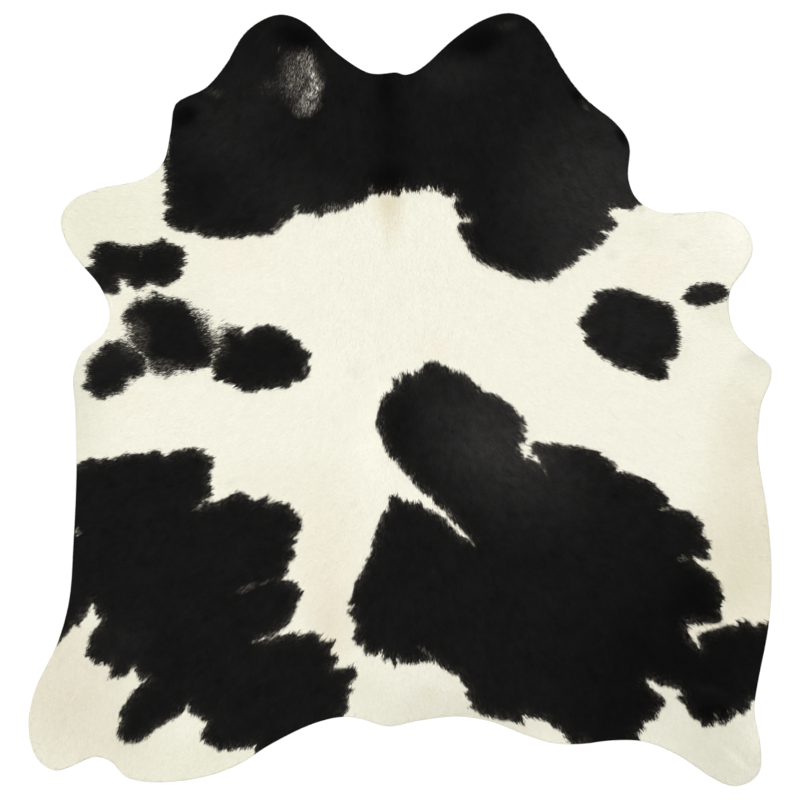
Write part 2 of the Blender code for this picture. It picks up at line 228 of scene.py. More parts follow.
# -------------------------------------------------------------- black patches
# Borders of the black hair, each a closed line of marks in centimetres.  Where
# a patch runs off the hide, its line passes just outside the cut edge.
PATCHES = {
    "neck": (
        (-65.6, 64.2), (-66.9, 67.0), (-75, 75), (-75, 115), (75, 115), (75, 62), (66.9, 54.4),
        (65.2, 53.5), (64.6, 52.3), (60.4, 53.3), (58.5, 52.7), (57.9, 51.3), (59.2, 50.6),
        (60.2, 48.7), (59.2, 46.9), (55.8, 46.7), (57.9, 45.2), (57.2, 44.0), (54.5, 42.9),
        (53.8, 41.2), (50.9, 41.5), (52.5, 40.6), (50.2, 39.5), (49.5, 38.5), (46.8, 36.6),
        (44.9, 35.5), (43.8, 34.3), (41.9, 32.4), (39.5, 33.2), (36.9, 32.9), (32.2, 33.7),
        (30.5, 34.8), (28.6, 35.6), (25.5, 36.5), (23.3, 37.5), (21.2, 38.8), (19.6, 40.5),
        (18.3, 43.2), (16.9, 45.0), (15.9, 47.0), (16.6, 48.7), (19.4, 49.8), (16.9, 50.3),
        (15.4, 52.3), (14.6, 54.8), (15.4, 55.4), (15.0, 56.3), (13.1, 56.0), (11.2, 57.6),
        (8.5, 58.2), (6.0, 58.5), (5.4, 57.5), (1.9, 57.6), (1.2, 58.3), (0.0, 57.5), (-0.2, 56.6),
        (-3.5, 57.2), (-5.0, 56.6), (-7.7, 56.8), (-9.2, 55.9), (-10.4, 54.6), (-12.7, 53.8),
        (-14.6, 52.7), (-16.5, 52.3), (-21.0, 51.9), (-21.9, 50.8), (-25.0, 51.3), (-28.1, 51.3),
        (-28.5, 52.3), (-30.0, 50.5), (-32.0, 49.3), (-33.5, 47.3), (-35.0, 45.8), (-37.8, 45.2),
        (-42.0, 45.3), (-46.0, 44.8), (-50.0, 44.9), (-53.5, 44.8), (-56.9, 46.3), (-61.0, 46.7),
        (-63.5, 47.7), (-64.6, 48.8), (-65.8, 50.2), (-65.0, 52.3), (-64.0, 53.5), (-65.8, 54.8),
        (-64.8, 55.4), (-65.9, 56.7), (-64.8, 58.1), (-64.7, 59.6), (-66.1, 61.0), (-65.2, 61.9),
    ),
    "left fore leg": (
        (-87.5, 36.3), (-85.4, 37.3), (-85.2, 38.5), (-86.2, 39.8), (-85.0, 41.7), (-83.5, 43.5),
        (-81.2, 43.8), (-79.2, 43.7), (-77.3, 42.9), (-74.6, 42.7), (-70.4, 43.0), (-67.1, 43.8),
        (-66.5, 44.6), (-65.0, 44.7), (-64.4, 43.5), (-61.9, 42.9), (-60.0, 41.5), (-58.8, 40.2),
        (-60.0, 39.2), (-59.2, 37.8), (-60.6, 36.7), (-60.6, 34.9), (-62.0, 33.1), (-63.8, 31.9),
        (-66.5, 31.2), (-69.8, 32.1), (-71.2, 30.8), (-73.5, 30.4), (-75.4, 31.5), (-76.2, 33.1),
        (-77.3, 33.3), (-78.1, 32.3), (-77.7, 30.8), (-78.3, 29.2), (-79.6, 28.8), (-81.8, 29.4),
        (-85, 29), (-91, 36),
    ),
    "left shoulder": (
        (-76.1, 24.5), (-74.2, 26.5), (-73.0, 28.5), (-71.5, 27.7), (-68.5, 29.8), (-65.0, 28.5),
        (-62.3, 27.9), (-59.6, 27.5), (-58.6, 26.3), (-56.9, 24.7), (-53.8, 22.4), (-53.0, 19.8),
        (-50.0, 17.2), (-50.1, 14.6), (-51.2, 12.3), (-52.0, 9.4), (-54.8, 8.5), (-58.1, 7.3),
        (-60.4, 8.3), (-64.6, 6.5), (-67.7, 6.9), (-69.6, 8.8), (-69.6, 10.4), (-71.5, 12.7),
        (-73.8, 14.6), (-75.4, 16.2), (-75.5, 20.1), (-77.0, 21.5), (-77.0, 23.1),
    ),
    "left elbow": (
        (-81.2, 16.0), (-79.2, 15.8), (-77.3, 16.3), (-75.8, 15.8), (-73.8, 14.6), (-71.5, 12.7),
        (-69.6, 10.4), (-70.0, 8.6), (-71.0, 6.9), (-73.2, 5.6), (-75.3, 4.9), (-76.2, 3.3),
        (-77.3, 1.9), (-79.2, 1.5), (-81.5, 0.4), (-83.5, 0.0), (-85.4, 0.8), (-86.2, 2.3),
        (-88.3, 3.1), (-87.9, 4.2), (-86.9, 5.4), (-87.1, 7.7), (-87.3, 9.6), (-85.4, 11.5),
        (-83.5, 13.8), (-81.9, 15.2),
    ),
    "left ribs": (
        (-49.2, 19.3), (-48.4, 20.2), (-43.8, 20.2), (-43.4, 17.9), (-42.3, 18.7), (-41.0, 19.6),
        (-38.6, 20.5), (-36.1, 20.3), (-31.4, 19.3), (-31.0, 18.3), (-28.4, 16.6), (-27.0, 14.6),
        (-25.5, 13.1), (-24.3, 12.4), (-25.4, 11.2), (-25.6, 10.0), (-24.6, 8.3), (-25.2, 6.6),
        (-27.6, 4.9), (-30.0, 4.9), (-30.5, 3.7), (-31.5, 2.9), (-33.5, 3.4), (-38.0, 2.8),
        (-40.7, 2.0), (-43.0, 2.3), (-46.0, 3.3), (-48.2, 4.5), (-50.0, 5.4), (-51.7, 4.9),
        (-52.1, 8.0), (-52.5, 9.8), (-51.3, 13.0), (-50.8, 15.4), (-50.3, 17.5),
    ),
    "right shoulder": (
        (54.0, 29.8), (57.7, 30.6), (60.4, 30.8), (63.1, 30.6), (65.0, 29.8), (68.1, 28.5),
        (70.0, 28.1), (73.1, 26.9), (75.2, 26.3), (76.2, 24.2), (77.0, 22.3), (77.5, 20.4),
        (77.7, 18.5), (77.6, 16.2), (77.3, 13.8), (77.1, 12.3), (75.8, 11.2), (74.6, 11.2),
        (73.5, 10.2), (74.8, 9.0), (74.5, 6.9), (74.1, 5.7), (71.5, 5.1), (68.7, 5.8), (65.7, 7.2),
        (65.0, 8.0), (61.4, 8.5), (58.8, 10.1), (55.8, 11.6), (54.0, 13.8), (52.3, 14.4),
        (51.2, 16.0), (51.8, 17.9), (50.0, 20.3), (50.0, 22.6), (51.2, 24.0), (52.4, 25.6),
        (54.0, 27.2),
    ),
    "right armpit": (
        (78.1, 28.5), (80.0, 30.7), (81.9, 31.8), (83.8, 32.4), (86.5, 32.5), (89.2, 31.8),
        (90.9, 30.8), (91.7, 29.7), (91.4, 28.7), (90.2, 27.8), (87.7, 26.6), (85.2, 25.7),
        (81.9, 25.7), (80.0, 26.6), (78.7, 27.7),
    ),
    "right side": (
        (-6.8, -6.0), (-5.6, -1.2), (-4.6, 0.3), (-3.6, 1.9), (-1.9, 2.7), (-1.7, 5.2),
        (-1.0, 6.3), (0.1, 4.9), (0.7, 7.4), (3.0, 7.1), (3.5, 6.5), (4.3, 7.8), (5.5, 7.3),
        (6.2, 9.5), (7.3, 10.2), (10.2, 10.5), (12.7, 9.4), (14.7, 8.1), (19.0, 6.6), (20.2, 5.0),
        (22.3, 3.8), (23.0, 2.4), (25.8, 1.5), (28.2, 0.4), (31.5, -2.0), (33.0, -4.3),
        (34.7, -4.9), (34.9, -8.6), (34.4, -9.6), (35.0, -10.8), (34.5, -12.1), (33.0, -12.4),
        (33.6, -14.4), (34.4, -16.3), (37.0, -16.5), (39.1, -17.9), (37.6, -15.9), (35.7, -12.9),
        (37.0, -12.1), (38.5, -11.9), (44.0, -12.3), (50.0, -13.1), (56.0, -14.4), (55.8, -15.4),
        (57.7, -16.5), (59.6, -17.7), (60.4, -19.9), (62.7, -20.0), (65.4, -21.2), (67.7, -22.1),
        (70.0, -22.9), (71.0, -23.8), (73.1, -25.8), (74.6, -27.9), (74.4, -29.2), (77.7, -30.8),
        (80.0, -31.0), (82.7, -32.9), (84.4, -35.2), (84.0, -36.5), (84.6, -38.1), (86.2, -39.2),
        (86.3, -41.3), (85.2, -41.9), (86.2, -44.2), (83.8, -44.6), (81.7, -43.8), (82.3, -45.4),
        (84.6, -46.9), (86.5, -47.9), (88.5, -50.4), (89.2, -52.3), (90.2, -55.8), (89.4, -56.9),
        (89.4, -60.4), (88.5, -62.3), (83.8, -62.6), (80.1, -62.3), (80.3, -64.2), (80.5, -66.1),
        (81.5, -66.9), (83.1, -69.0), (82.7, -66.9), (83.1, -65.0), (85.4, -64.0), (88.5, -63.5),
        (89.8, -62.5), (93.5, -62.7), (94.0, -61.2), (95.2, -61.9), (95.8, -61.0), (97.3, -61.9),
        (98.8, -63.1), (99.6, -61.9), (102.2, -61.7), (107, -62), (105, -84), (98.1, -83.5),
        (97.5, -83.8), (97.1, -85.8), (96.0, -86.5), (95.0, -87.9), (93.5, -86.9), (91.5, -89.2),
        (89.2, -90.4), (88.1, -89.2), (86.5, -91.0), (83.8, -90.6), (83.1, -89.4), (81.5, -88.7),
        (79.2, -85.2), (77.7, -83.1), (76.7, -82.7), (77.9, -81.9), (77.3, -80.6), (74.6, -80.0),
        (71.0, -79.0), (70.8, -78.6), (69.0, -78.2), (69.5, -79.3), (70.7, -80.8), (72.0, -81.8),
        (73.4, -83.9), (73.4, -85.2), (72.4, -85.8), (71.0, -88.8), (68.3, -89.6), (68.1, -91.2),
        (66.0, -93.1), (66.3, -94.2), (67, -98), (52, -99), (51.2, -95.6), (48.6, -95.8),
        (46.5, -95.1), (44.4, -91.8), (42.6, -91.3), (40.7, -89.3), (37.3, -88.7), (35.2, -88.1),
        (34.0, -88.6), (34.4, -90.4), (29.6, -89.0), (25.8, -88.3), (23.5, -88.1), (21.9, -86.9),
        (19.4, -85.4), (20.0, -84.2), (18.2, -82.0), (18.9, -80.4), (16.8, -78.5), (16.2, -76.5),
        (13.1, -75.4), (9.2, -72.7), (5.0, -73.3), (0.4, -73.5), (-0.8, -72.3), (-1.5, -74.2),
        (-2.7, -71.9), (-4.3, -72.7), (-5.4, -70.3), (-7.3, -71.0), (-9.7, -71.0), (-10.3, -68.6),
        (-12.1, -68.3), (-13.1, -66.4), (-12.2, -63.0), (-14.6, -58.9), (-13.3, -57.3),
        (-14.4, -56.9), (-13.8, -55.0), (-13.2, -53.4), (-12.4, -50.6), (-10.0, -46.7),
        (-8.5, -43.0), (-7.0, -37.7), (-5.8, -34.0), (-5.0, -32.0), (-3.3, -30.2), (-2.7, -27.0),
        (-1.2, -26.5), (0.8, -27.7), (3.2, -28.8), (5.5, -28.7), (7.2, -30.2), (10.4, -32.0),
        (12.3, -33.2), (13.9, -34.9), (16.3, -37.3), (19.4, -39.0), (17.1, -36.6), (14.9, -34.0),
        (13.6, -32.5), (12.8, -31.0), (9.7, -29.2), (8.7, -27.0), (6.0, -25.9), (4.2, -23.7),
        (3.2, -22.0), (1.6, -21.0), (-1.0, -17.0), (-2.8, -16.4), (-4.4, -13.2), (-5.2, -10.4),
        (-6.2, -8.5),
    ),
    "left side": (
        (-89.5, -18.3), (-88.1, -16.9), (-85.8, -16.0), (-84.2, -16.9), (-81.5, -16.5),
        (-79.2, -16.2), (-75.8, -14.8), (-71.2, -14.8), (-66.9, -14.0), (-65.0, -15.6),
        (-62.7, -14.2), (-58.1, -13.5), (-54.2, -14.0), (-54.2, -15.2), (-51.6, -16.0),
        (-52.3, -17.2), (-51.4, -18.5), (-52.9, -19.8), (-52.3, -21.9), (-53.2, -23.4),
        (-52.2, -25.0), (-52.5, -26.4), (-55.3, -29.4), (-53.4, -28.7), (-50.7, -28.5),
        (-47.6, -26.8), (-45.0, -25.4), (-41.5, -27.2), (-40.0, -27.9), (-36.9, -26.8),
        (-36.3, -27.8), (-37.0, -28.8), (-35.0, -28.5), (-31.0, -28.9), (-30.0, -30.8),
        (-27.8, -32.3), (-27.4, -33.6), (-27.5, -36.2), (-29.4, -38.3), (-29.0, -39.6),
        (-30.0, -40.5), (-29.0, -43.5), (-31.0, -45.7), (-30.8, -47.7), (-32.2, -49.9),
        (-29.0, -51.0), (-26.8, -53.4), (-27.3, -55.0), (-28.5, -56.2), (-28.8, -57.9),
        (-31.0, -62.5), (-34.2, -64.8), (-38.7, -66.6), (-35.4, -66.2), (-31.2, -64.8),
        (-28.1, -65.2), (-24.2, -64.5), (-22.0, -65.5), (-22.2, -66.9), (-17.8, -66.9),
        (-19.2, -70.0), (-17.2, -71.7), (-18.5, -74.6), (-13.3, -74.0), (-11.7, -75.4),
        (-12.5, -77.7), (-14.2, -79.6), (-12.7, -80.4), (-14.5, -82.4), (-14.4, -85.4),
        (-15.9, -88.0), (-15, -91), (-24, -94), (-35, -100), (-41, -101), (-40.0, -97.7),
        (-40.8, -96.7), (-47.7, -97.3), (-50.6, -97.6), (-53.9, -95.2), (-55.4, -94.9),
        (-55.2, -92.4), (-53.9, -91.0), (-53.8, -89.6), (-58.3, -87.4), (-59.0, -85.2),
        (-59.6, -86.2), (-61.9, -88.1), (-65.0, -89.8), (-67.7, -91.5), (-70.0, -93.4),
        (-73.1, -95.3), (-76.4, -95.1), (-78.0, -94.2), (-78.7, -92.7), (-77.9, -90.8),
        (-77.9, -86.5), (-76.9, -85.0), (-73.1, -80.0), (-70.0, -77.4), (-72.1, -78.5),
        (-72.5, -76.5), (-74.0, -74.6), (-76.2, -76.9), (-78.1, -77.1), (-80.6, -77.3),
        (-80.2, -75.0), (-81.2, -73.5), (-84.6, -73.7), (-86.9, -71.5), (-87.3, -70.0),
        (-86.5, -67.7), (-85.0, -63.7), (-83.3, -62.1), (-82.5, -60.4), (-83.8, -61.0),
        (-84.5, -60.2), (-84.3, -58.3), (-85.5, -56.9), (-86.3, -58.8), (-88.3, -60.8),
        (-89.2, -62.9), (-90.6, -62.7), (-91.5, -64.2), (-94.6, -67.7), (-98, -67), (-95, -40),
        (-94, -18),
    ),
}
PATCH_MARGIN = 0.04         # how far from a patch its border still matters

# Where pale hairs are mixed into the black: middle and half sizes in metres,
# turn in degrees, and the share of pale hair in the middle
ROAN = (
    # place                         x        y       length  width   turn   share
    ("neck star",                  -0.277,   0.887,  0.100,  0.078,   95,   0.093),
    ("neck star, right band",      -0.244,   0.897,  0.090,  0.023,  102,   0.310),
    ("neck star, slant",           -0.248,   0.850,  0.064,  0.029,   50,   0.275),
    ("neck star, right corner",    -0.232,   0.860,  0.034,  0.014,   80,   0.330),
    ("neck star, foot",            -0.258,   0.811,  0.050,  0.031,   20,   0.205),
    ("neck star, top",             -0.267,   0.938,  0.046,  0.036,   30,   0.140),
    ("neck star, left wisps",      -0.350,   0.870,  0.070,  0.040,   10,   0.014),
    ("neck, tick",                 -0.337,   0.970,  0.014,  0.003,   68,   0.045),
    ("neck, left scuff",           -0.515,   0.850,  0.045,  0.018,  -10,   0.014),
    ("neck, right scuff",           0.512,   0.815,  0.026,  0.010,  -45,   0.030),
    ("left shoulder, left side",   -0.742,   0.172,  0.076,  0.060,  100,   0.065),
    ("left shoulder, parting",     -0.745,   0.150,  0.040,  0.018,  -35,   0.070),
    ("left shoulder, elbow side",  -0.716,   0.134,  0.040,  0.020,  -35,   0.030),
    ("left shoulder, rib side",    -0.520,   0.180,  0.090,  0.044,  -60,   0.055),
    ("left shoulder, rib parting", -0.517,   0.130,  0.040,  0.016,   84,   0.050),
    ("left shoulder, lower side",  -0.665,   0.092,  0.080,  0.030,   -5,   0.075),
    ("left shoulder, foot left",   -0.698,   0.092,  0.030,  0.026,   30,   0.100),
    ("left leg, parting",          -0.720,   0.405,  0.022,  0.005,   92,   0.050),
    ("left leg, lower edge",       -0.730,   0.308,  0.030,  0.008,    0,   0.100),
    ("left rib patch, top left",   -0.462,   0.186,  0.026,  0.014,    0,   0.080),
    ("left rib patch, right edge", -0.264,   0.082,  0.030,  0.012,   85,   0.100),
    ("right side, strand",          0.075,  -0.705,  0.045,  0.010,  -40,   0.040),
    ("right side, wedge end",       0.402,  -0.195,  0.030,  0.006,  -70,   0.070),
    ("right side, slit end",        0.198,  -0.396,  0.020,  0.005,  -50,   0.200),
    ("right side, slit edge",       0.140,  -0.320,  0.035,  0.008,  -45,   0.100),
    ("right side, flank streak",    0.737,  -0.303,  0.024,  0.008,   12,   0.120),
    ("right side, second streak",   0.786,  -0.442,  0.024,  0.012,   10,   0.070),
    ("right side, edge by wedge",   0.340,  -0.075,  0.050,  0.012,   95,   0.070),
    ("left side, streak",          -0.425,  -0.524,  0.040,  0.014,   22,   0.050),
    ("left side, streak's tail",   -0.370,  -0.507,  0.040,  0.006,   22,   0.025),
    ("left side, inlet end",       -0.560,  -0.302,  0.022,  0.006,   25,   0.120),
    ("left side, lower inlet end", -0.402,  -0.670,  0.022,  0.006,   15,   0.150),
    ("left side, rim nick",        -0.895,  -0.368,  0.018,  0.008,   90,   0.300),
    ("neck, feathered border",     -0.180,   0.533,  0.050,  0.015,    6,   0.070),
    ("neck, feathered notch",      -0.203,   0.530,  0.015,  0.016,    0,   0.120),
    ("neck, feathered rise",       -0.140,   0.542,  0.036,  0.012,   18,   0.080),
    ("neck, notch",                -0.287,   0.528,  0.014,  0.014,    0,   0.200),
    ("neck, step",                 -0.336,   0.485,  0.024,  0.012,   60,   0.090),
    ("neck, step foot",            -0.348,   0.472,  0.014,  0.010,    0,   0.200),
    ("neck, under edge",           -0.390,   0.460,  0.050,  0.008,    0,   0.060),
    ("neck, stain corner",         -0.080,   0.582,  0.016,  0.012,   60,   0.060),
    ("right patch, left edge",      0.505,   0.240,  0.050,  0.010,   65,   0.060),
    ("right leg, streak",           0.878,  -0.880,  0.016,  0.006,  -50,   0.060),
    ("right leg, second streak",    0.930,  -0.865,  0.014,  0.006,  -50,   0.080),
    ("left cheek rim",             -0.643,   0.690,  0.050,  0.005,   85,   0.120),
)
ROAN_FALL = 0.85            # under 1 it fills a place more evenly

# Where the border of a patch is blurred wider: middle and half sizes in metres,
# turn in degrees, and the width of the blur in the middle
SOFT = (
    # place                       x        y       length  width   turn   blur
    ("left shoulder, right",     -0.530,   0.200,  0.140,  0.100,  -60,   0.038),
    ("left shoulder, foot",      -0.640,   0.080,  0.130,  0.055,   -5,   0.028),
    ("left shoulder, left",      -0.755,   0.180,  0.070,  0.050,   90,   0.032),
    ("left shoulder, top",       -0.680,   0.275,  0.140,  0.050,    0,   0.020),
    ("left fore leg",            -0.720,   0.370,  0.220,  0.120,    0,   0.012),
    ("left elbow",               -0.790,   0.080,  0.140,  0.130,    0,   0.020),
    ("left ribs",                -0.380,   0.120,  0.180,  0.130,    0,   0.010),
)
SOFT_FALL = 0.6

# Colours of pale hair as they look in the light, 0 to 255
TINTS = {
    "cream": (243, 241, 226),
    "ivory": (248, 246, 231),
    "milk": (251, 248, 237),
    "cool": (234, 233, 214),
    "pinkish": (243, 236, 220),
    "stain": (229, 222, 196),
    "warm": (239, 234, 216),
    "sand": (232, 226, 205),
    "flank": (227, 222, 199),
    "leg": (227, 222, 202),
    "shank": (224, 222, 205),
    "rim": (229, 228, 210),
    "tail": (226, 223, 207),
    "grey": (190, 188, 180),
    "pearl": (243, 239, 231),
    "olive": (224, 219, 194),
}

# Soft spots of colour in the pale hair: middle and half sizes in metres, turn
# in degrees, and how much of the tint the middle takes.  Most are the hair's own
# colour; those marked painted shade darken it where a wave lies in shade
SPOTS = (
    # tint       x        y       length  width   turn  share
    ("cool",    -0.840,   0.500,  0.340,  0.240,    0,  1.00),
    ("cool",    -0.640,   0.360,  0.200,  0.140,    0,  0.60),
    ("pinkish", -0.460,   0.400,  0.160,  0.090,    0,  0.60),
    ("pinkish", -0.740,   0.240,  0.120,  0.100,    0,  0.50),
    ("pinkish", -0.740,  -0.010,  0.090,  0.060,    0,  0.50),
    ("rim",     -0.940,  -0.020,  0.340,  0.210,   90,  1.00),
    ("ivory",   -0.060,  -0.100,  0.260,  0.110,   80,  1.00),
    ("ivory",    0.060,  -0.260,  0.120,  0.050,  -40,  0.80),
    ("ivory",   -0.240,   0.080,  0.200,  0.120,    0,  0.40),
    ("pinkish",  0.095,   0.140,  0.090,  0.060,    0,  0.60),
    ("olive",   -0.125,   0.080,  0.050,  0.045,    0,  0.18),
    ("warm",    -0.360,  -0.240,  0.240,  0.120,    0,  0.50),
    ("warm",    -0.210,  -0.440,  0.400,  0.180,   92,  1.00),
    ("sand",    -0.195,  -0.640,  0.200,  0.090,   95,  0.90),
    ("sand",    -0.190,  -0.600,  0.180,  0.014,   92,  0.40),
    ("milk",     0.960,   0.490,  0.180,  0.130,   80,  1.00),
    ("cool",     0.680,   0.460,  0.100,  0.080,    0,  0.50),
    ("pinkish",  0.690,   0.355,  0.130,  0.080,   10,  0.80),
    ("cool",     0.880,   0.240,  0.120,  0.070,  -30,  0.70),
    ("rim",      1.000,   0.110,  0.110,  0.080,   60,  0.80),
    ("cream",    0.990,   0.040,  0.080,  0.050,   80,  0.60),
    ("cool",     0.760,   0.140,  0.100,  0.070,    0,  0.30),
    ("sand",     0.960,  -0.100,  0.260,  0.160,   90,  0.80),
    ("flank",    0.960,  -0.440,  0.400,  0.260,   92,  1.00),
    ("cream",    0.760,  -0.240,  0.120,  0.070,  -60,  0.50),
    ("olive",    0.930,  -0.520,  0.090,  0.050,   88,  0.60),
    ("stain",   -0.030,   0.545,  0.090,  0.065,   88,  1.00),
    ("stain",   -0.025,   0.480,  0.090,  0.050,   85,  0.40),
    ("pearl",   -0.270,   0.880,  0.260,  0.200,   90,  1.00),
    ("grey",     0.590,   0.400,  0.034,  0.028,    0,  0.16),
    ("grey",     0.790,   0.430,  0.028,  0.022,    0,  0.16),
    ("grey",     0.670,   0.530,  0.022,  0.018,    0,  0.25),
    # painted shade: these two darken the pale hair where the ruffle at the right flank point lies
    # in shade
    ("grey",     0.960,   0.115,  0.040,  0.016,   20,  0.20),
    ("grey",     0.980,  -0.010,  0.020,  0.014,    0,  0.20),
    ("grey",    -0.470,  -0.230,  0.034,  0.018,   15,  0.12),
    ("grey",    -0.125,  -0.290,  0.022,  0.012,   30,  0.14),
    ("grey",    -0.160,  -0.335,  0.010,  0.008,    0,  0.14),
    ("grey",    -0.185,  -0.385,  0.012,  0.008,    0,  0.12),
    ("grey",    -0.075,  -0.200,  0.010,  0.008,    0,  0.14),
    ("grey",    -0.200,  -0.600,  0.012,  0.010,    0,  0.12),
    ("grey",    -0.050,  -0.800,  0.014,  0.010,    0,  0.16),
    ("grey",    -0.240,   0.480,  0.010,  0.008,    0,  0.18),
    ("grey",    -0.282,   0.482,  0.010,  0.008,    0,  0.14),
    ("grey",    -0.015,   0.515,  0.014,  0.008,   60,  0.22),
    ("grey",     0.790,   0.165,  0.012,  0.008,    0,  0.16),
    # painted shade: a darker spot on the shaded side of the ridge at the right hind leg's end
    ("sand",     0.938,  -0.955,  0.014,  0.012,    0,  0.60),
    ("grey",     0.992,  -0.985,  0.007,  0.012,    0,  0.30),
    ("grey",     0.960,  -0.990,  0.014,  0.012,    0,  0.10),
    ("grey",    -0.360,  -0.300,  0.012,  0.008,    0,  0.10),
    ("leg",     -0.920,  -0.840,  0.340,  0.340,   85,  1.00),
    ("leg",     -0.930,  -0.690,  0.140,  0.080,   60,  0.80),
    ("leg",     -0.760,  -0.980,  0.200,  0.160,    0,  0.70),
    ("cool",    -0.560,  -1.020,  0.340,  0.160,    0,  0.90),
    ("cool",    -0.100,  -0.790,  0.100,  0.110,    0,  0.80),
    ("tail",     0.160,  -0.890,  0.500,  0.200,    0,  1.00),
    ("olive",    0.080,  -0.820,  0.050,  0.040,    0,  0.40),
    ("shank",    0.880,  -0.980,  0.380,  0.240,  -30,  1.00),
    ("cream",    0.990,  -0.940,  0.080,  0.060,   90,  0.40),
    ("shank",    0.740,  -0.830,  0.140,  0.110,    0,  0.60),
    ("cream",    0.935,  -1.000,  0.070,  0.018,  -42,  0.60),
    ("leg",      0.850,  -0.650,  0.120,  0.060,    0,  0.90),
    ("sand",     0.590,  -0.040,  0.045,  0.006,  -50,  0.40),
    ("sand",     0.775,  -0.100,  0.035,  0.006,  -35,  0.40),
    # painted shade: a darker line along a fold of the ruffle at the right flank point
    ("sand",     0.915,   0.040,  0.060,  0.012,   50,  0.35),
)

# Brightness of the black hair as it looks in the light, 0 to 255: partly the hair's own tone,
# partly painted sheen and painted shade from how light falls on it
BLACK = 24.0
PAINTED_SHEEN_SHADE_AND_TONE = (
    # place                     x        y       length  width   turn  level  share
    ("neck, left",             -0.480,   0.740,  0.260,  0.200,   60,  31,    1.0),
    ("neck, left cheek",       -0.560,   0.600,  0.140,  0.110,    0,  21,    0.9),
    ("neck, left foot",        -0.300,   0.560,  0.260,  0.140,    0,  33,    0.8),
    ("neck, crest",            -0.022,   0.740,  0.270,  0.090,   92,  18,    1.0),
    ("neck, crest top",        -0.040,   0.860,  0.080,  0.050,   90,  12,    0.7),
    ("neck, crest foot",       -0.030,   0.610,  0.090,  0.070,    0,  11,    0.8),
    ("neck, right",             0.540,   0.560,  0.400,  0.340,   80,  43,    1.0),
    ("neck, right cheek",       0.460,   0.360,  0.160,  0.120,    0,  40,    0.8),
    # painted shade on the neck lobes' waves, and a painted sheen on the right lobe's ridge
    ("neck, left lobe shade",  -0.285,   1.005,  0.110,  0.060,  -15,  11,    0.9),
    ("neck, right lobe shade",  0.215,   0.990,  0.130,  0.065,   20,  10,    0.9),
    ("neck, right lobe sheen",  0.300,   1.035,  0.050,  0.022,   15,  40,    0.8),
    ("neck, rim left",         -0.595,   0.785,  0.065,  0.045,   30,   9,    0.9),
    ("neck, rim right",         0.617,   0.728,  0.045,  0.022,  -60,   9,    0.8),
    ("neck, rim upper right",   0.490,   0.840,  0.050,  0.024,  -50,  10,    0.8),
    ("neck, nape right",        0.150,   0.900,  0.140,  0.090,    0,  33,    0.8),
    ("side, upper right",       0.275,  -0.125,  0.420,  0.270,  -38,  46,    1.0),
    ("side, upper left",        0.000,  -0.060,  0.110,  0.070,   90,  24,    0.9),
    ("side, lower right",       0.760,  -0.760,  0.540,  0.420,   50,  17,    1.0),
    ("side, dark lobe",         0.820,  -0.545,  0.170,  0.120,   80,  12,    0.6),
    ("thigh streak",            0.860,  -0.805,  0.080,  0.022,  -15,  26,    0.7),
    ("thigh, dark",             0.870,  -0.870,  0.070,  0.035,    0,   6,    0.9),
    ("left flank",             -0.780,  -0.670,  0.160,  0.110,   30,  31,    0.9),
    ("right patch",             0.640,   0.190,  0.200,  0.160,    0,  34,    1.0),
    ("right patch, band",       0.610,   0.190,  0.110,  0.018,   80,  27,    0.8),
    ("right armpit",            0.860,   0.295,  0.100,  0.050,    0,  37,    1.0),
    ("left leg and elbow",     -0.800,   0.200,  0.300,  0.140,   90,  31,    0.9),
)


# ------------------------------------------------------------ small helpers
def hump(distance):
    """1 at 0, falling as half a cosine wave to 0 at 1."""
    return 0.5 + 0.5 * np.cos(np.pi * np.clip(np.abs(distance), 0.0, 1.0))


def along_and_across(points, x, y, turn):
    """How far points lie from a place, along a line turned by degrees from +X and across it."""
    heading = np.radians(turn)
    dx, dy = points[:, 0] - x, points[:, 1] - y
    along = dx * np.cos(heading) + dy * np.sin(heading)
    across = dy * np.cos(heading) - dx * np.sin(heading)
    return along, across


def oval(points, x, y, length, width, turn):
    """Soft oval: a hump of the distance from its middle, measured in its own half sizes."""
    along, across = along_and_across(points, x, y, turn)
    return hump(np.hypot(along / length, across / width))


def most_of(points, places, least, fall):
    """The most that any place gives: its value in the middle, times its oval to a power."""
    most = np.full(len(points), least)
    for _, x, y, length, width, turn, value in places:
        most = np.maximum(most, value * oval(points, x, y, length, width, turn) ** fall)
    return most


def seen(levels):
    """Reflectance that looks like an sRGB level, 0 to 255, in this scene's light."""
    share = np.asarray(levels, float) / 255.0
    linear = np.where(share <= 0.04045, share / 12.92, ((share + 0.055) / 1.055) ** 2.4)
    return linear / WHITE_SHOWS_AT


def patchy(points, spacing, seed):
    """Smooth noise from -1 to 1: random values on a square lattice, eased between them."""
    values = np.random.default_rng(seed).uniform(-1.0, 1.0, (CELLS, CELLS))
    place = points / spacing + 1000.0
    low = np.floor(place).astype(int)
    step = place - low
    step = step * step * (3.0 - 2.0 * step)
    i, j = low[:, 0] % CELLS, low[:, 1] % CELLS
    i_next, j_next = (i + 1) % CELLS, (j + 1) % CELLS
    bottom = values[i, j] * (1 - step[:, 0]) + values[i_next, j] * step[:, 0]
    top = values[i, j_next] * (1 - step[:, 0]) + values[i_next, j_next] * step[:, 0]
    return bottom * (1 - step[:, 1]) + top * step[:, 1]


def layered(points, layers, start):
    """A start value plus layers of smooth noise, each with its strength, spacing and seed."""
    total = start
    for strength, spacing, seed in layers:
        total = total + strength * patchy(points, spacing, seed)
    return total


# --------------------------------------------------------- shape of the hide
def widest_by_angle(corners):
    """Angle and distance of the furthest corner in each of some equal sectors."""
    angle = np.arctan2(corners[:, 1], corners[:, 0])
    sector = np.clip(((angle + np.pi) / (2 * np.pi) * SECTORS).astype(int), 0, SECTORS - 1)
    furthest = np.zeros(SECTORS)
    np.maximum.at(furthest, sector, np.hypot(*corners.T))
    middles = (np.arange(SECTORS) + 0.5) / SECTORS * 2 * np.pi - np.pi
    return middles, furthest


